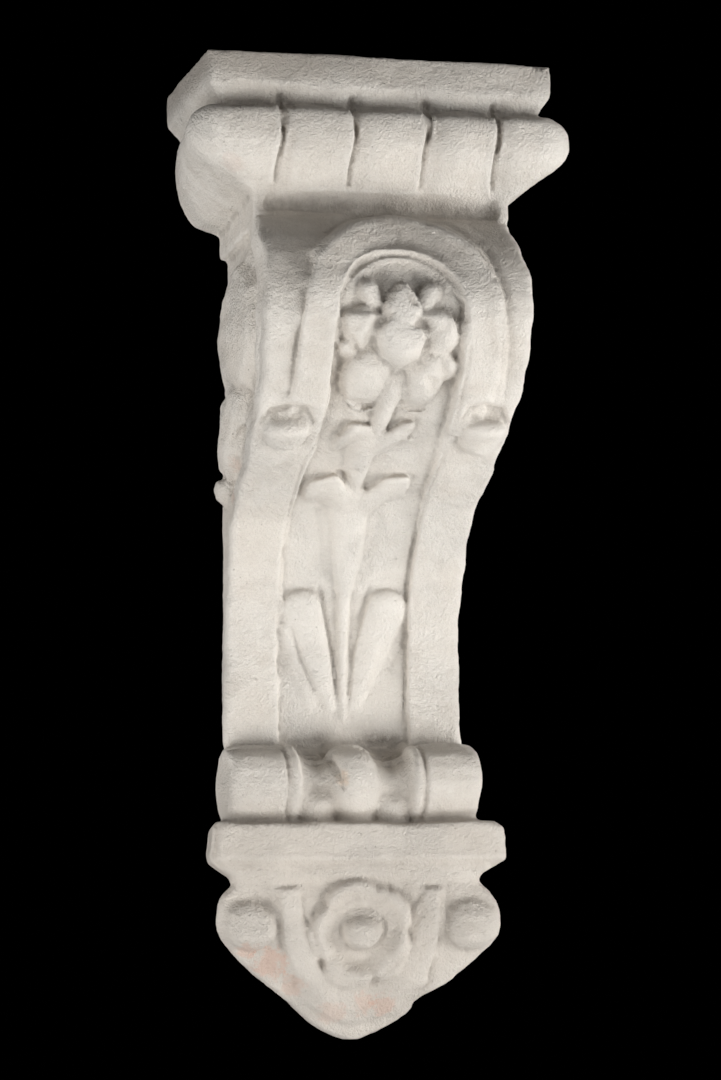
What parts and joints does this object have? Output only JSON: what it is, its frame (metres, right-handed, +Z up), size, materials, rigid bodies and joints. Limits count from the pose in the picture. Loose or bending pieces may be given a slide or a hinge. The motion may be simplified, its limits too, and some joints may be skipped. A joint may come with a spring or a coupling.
{
  "type": "console bracket",
  "caption": "Plaster console bracket: a flat slab on a cushioned torus, an S-scrolled body with a flower panel, a bolster roll and a pendant with a rosette; flat back for the wall.",
  "frame": {"origin": "on the flat back face where it meets the wall, midway between the sides and half way up the bracket", "axes": "+Z up, along the bracket's height; +Y out of the back face into the wall, so the carved front faces -Y; +X to the right as one looks at the front"},
  "size_m": [0.2028, 0.1445, 0.5034],
  "materials": {
    "plaster": "matte"
  },
  "bodies": {
    "root": {"console_bracket": "plaster"}
  },
  "joints": []
}
